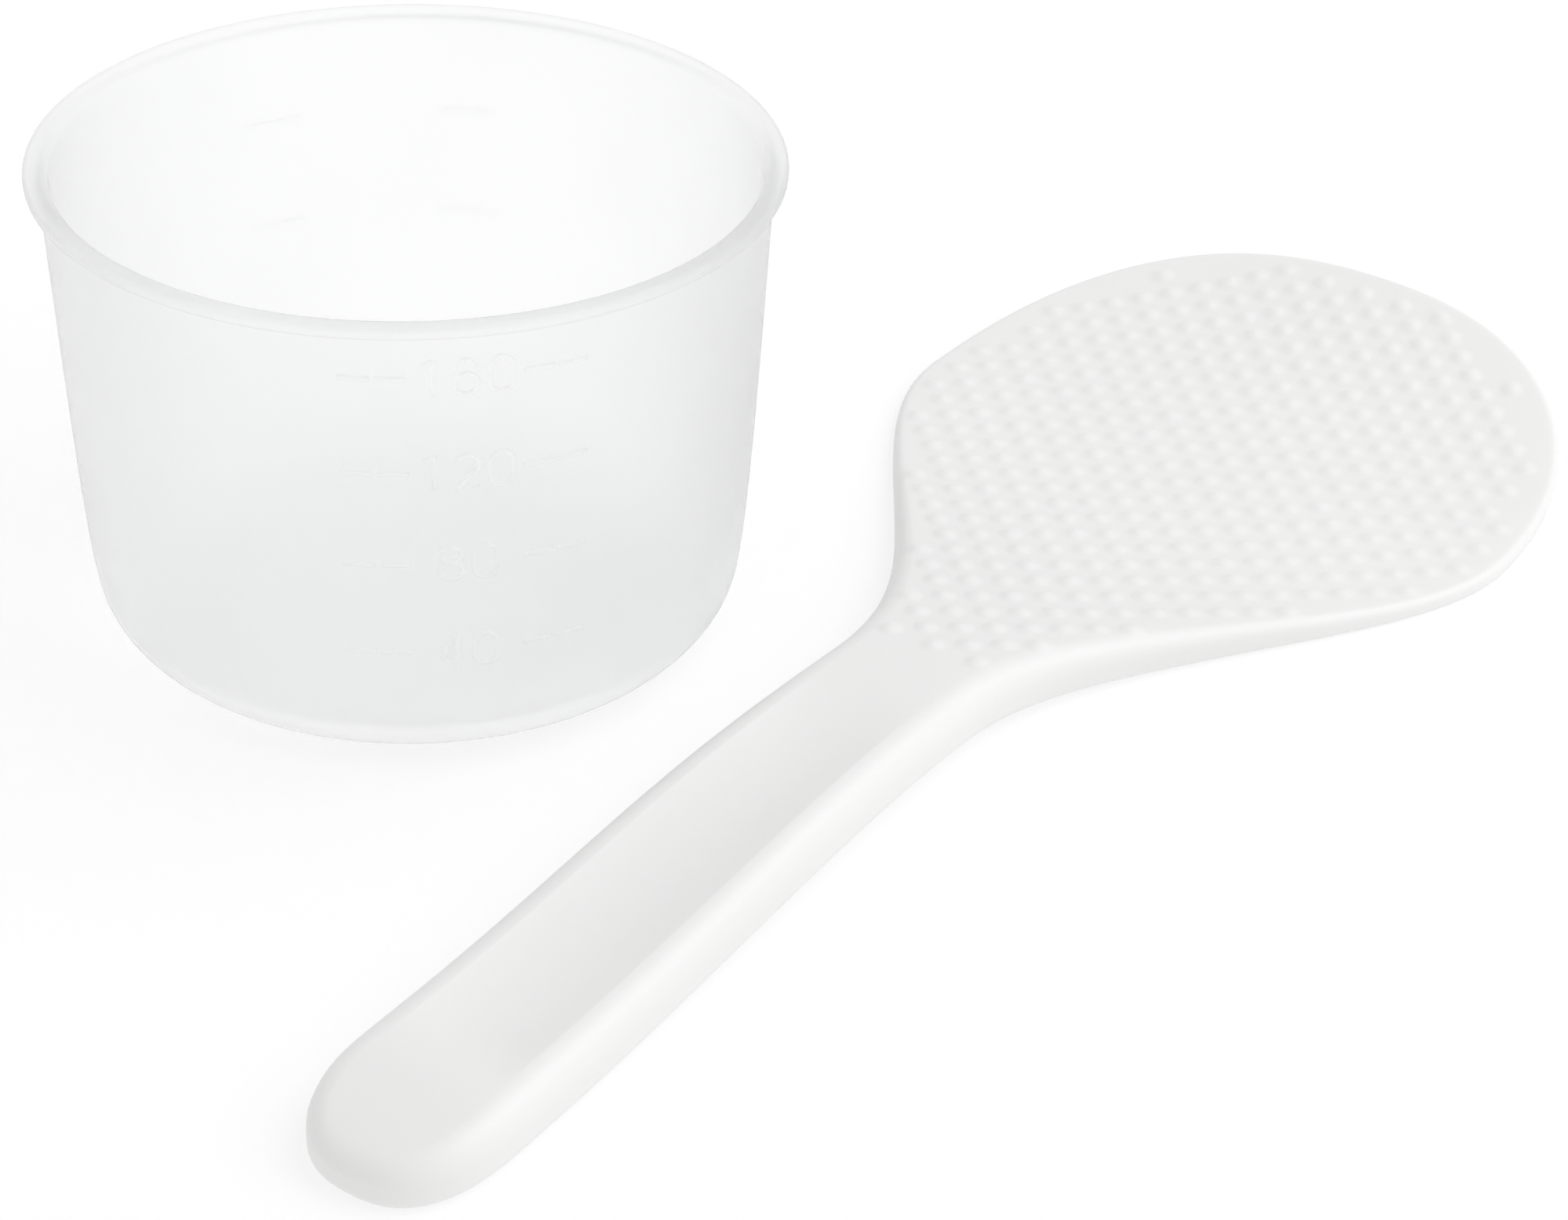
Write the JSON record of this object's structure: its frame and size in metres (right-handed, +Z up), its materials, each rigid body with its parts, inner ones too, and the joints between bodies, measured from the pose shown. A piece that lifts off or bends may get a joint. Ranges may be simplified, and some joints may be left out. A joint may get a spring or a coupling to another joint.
{
  "type": "measuring cup and rice paddle",
  "caption": "Translucent tapered measuring cup with a flared lip and raised scale, beside a white rice paddle with a bumpy upswept head and an arched, channelled handle.",
  "frame": {"origin": "centre of the set's box, on the surface that both pieces stand on", "axes": "+Y along the paddle from the grip to the head, +Z up, the cup on the -X side of the grip"},
  "size_m": [0.132, 0.198, 0.0523],
  "materials": {
    "cup_plastic": "frosted translucent polypropylene",
    "paddle_plastic": "satin white polypropylene"
  },
  "bodies": {
    "cup": {"measuring_cup": "cup_plastic"},
    "paddle": {"rice_paddle": "paddle_plastic"}
  },
  "joints": [
    {"name": "paddle_lift", "type": "slide", "parent": "cup", "child": "paddle", "axis": [0, 0, 1], "range_m": [0, 0.06]}
  ]
}
